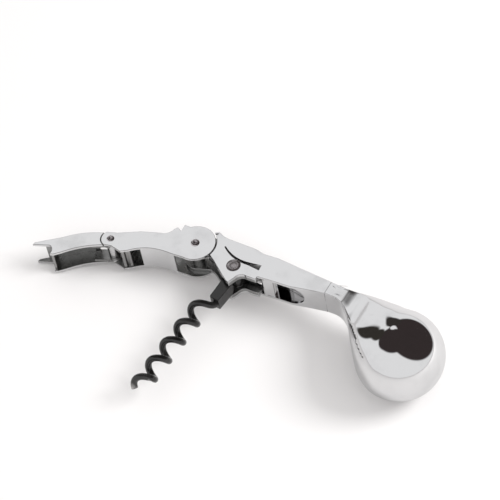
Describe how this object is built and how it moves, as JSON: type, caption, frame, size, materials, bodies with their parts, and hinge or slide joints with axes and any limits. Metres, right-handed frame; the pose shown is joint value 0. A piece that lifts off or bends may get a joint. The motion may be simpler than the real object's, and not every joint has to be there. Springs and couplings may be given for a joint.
{
  "type": "lever corkscrew",
  "caption": "Hand corkscrew with a polished ball-ended handle, a folding wire worm and a hinged lever with a rim step on each part.",
  "frame": {"origin": "on the worm pivot's axis, in the plane of the head's lower flat side", "axes": "+X along the handle towards the ball end, +Y towards the handle's back, +Z out of the upper flat side; every pivot's axis is along Z"},
  "size_m": [0.1948, 0.0841, 0.04],
  "materials": {
    "mirror_chrome": "mirror polished",
    "satin_steel": "satin",
    "rivet_steel": "polished",
    "spring_steel": "satin",
    "black_coating": "gloss"
  },
  "bodies": {
    "handle": {"handle_shell_upper": "mirror_chrome", "handle_shell_lower": "mirror_chrome", "head_liner_upper": "mirror_chrome", "head_liner_lower": "mirror_chrome", "head_spacer": "satin_steel", "back_spring": "spring_steel", "spring_anchor": "satin_steel", "pocket_bridge": "mirror_chrome", "pocket_tray": "satin_steel", "worm_rivet": "rivet_steel", "lever_rivet": "rivet_steel", "lever_spacer": "satin_steel", "worm_washers": "satin_steel"},
    "worm": {"worm_lug": "black_coating", "worm_screw": "black_coating"},
    "inner_lever": {"inner_lever": "mirror_chrome", "first_step_rest": "mirror_chrome", "hinge_rivet": "rivet_steel", "hinge_sleeve": "satin_steel"},
    "outer_lever": {"outer_lever": "mirror_chrome", "rim_rest": "satin_steel"}
  },
  "joints": [
    {"name": "worm_pivot", "type": "hinge", "parent": "handle", "child": "worm", "pos_m": [0, 0, 0.007], "axis": [0, 0, 1], "range_deg": [-6, 75]},
    {"name": "lever_pivot", "type": "hinge", "parent": "handle", "child": "inner_lever", "pos_m": [-0.0219, 0.0038, 0.007], "axis": [0, 0, 1], "range_deg": [-15, 60]},
    {"name": "lever_hinge", "type": "hinge", "parent": "inner_lever", "child": "outer_lever", "pos_m": [-0.05813, -0.00982, 0.007], "axis": [0, 0, 1], "range_deg": [-90, 0]}
  ]
}
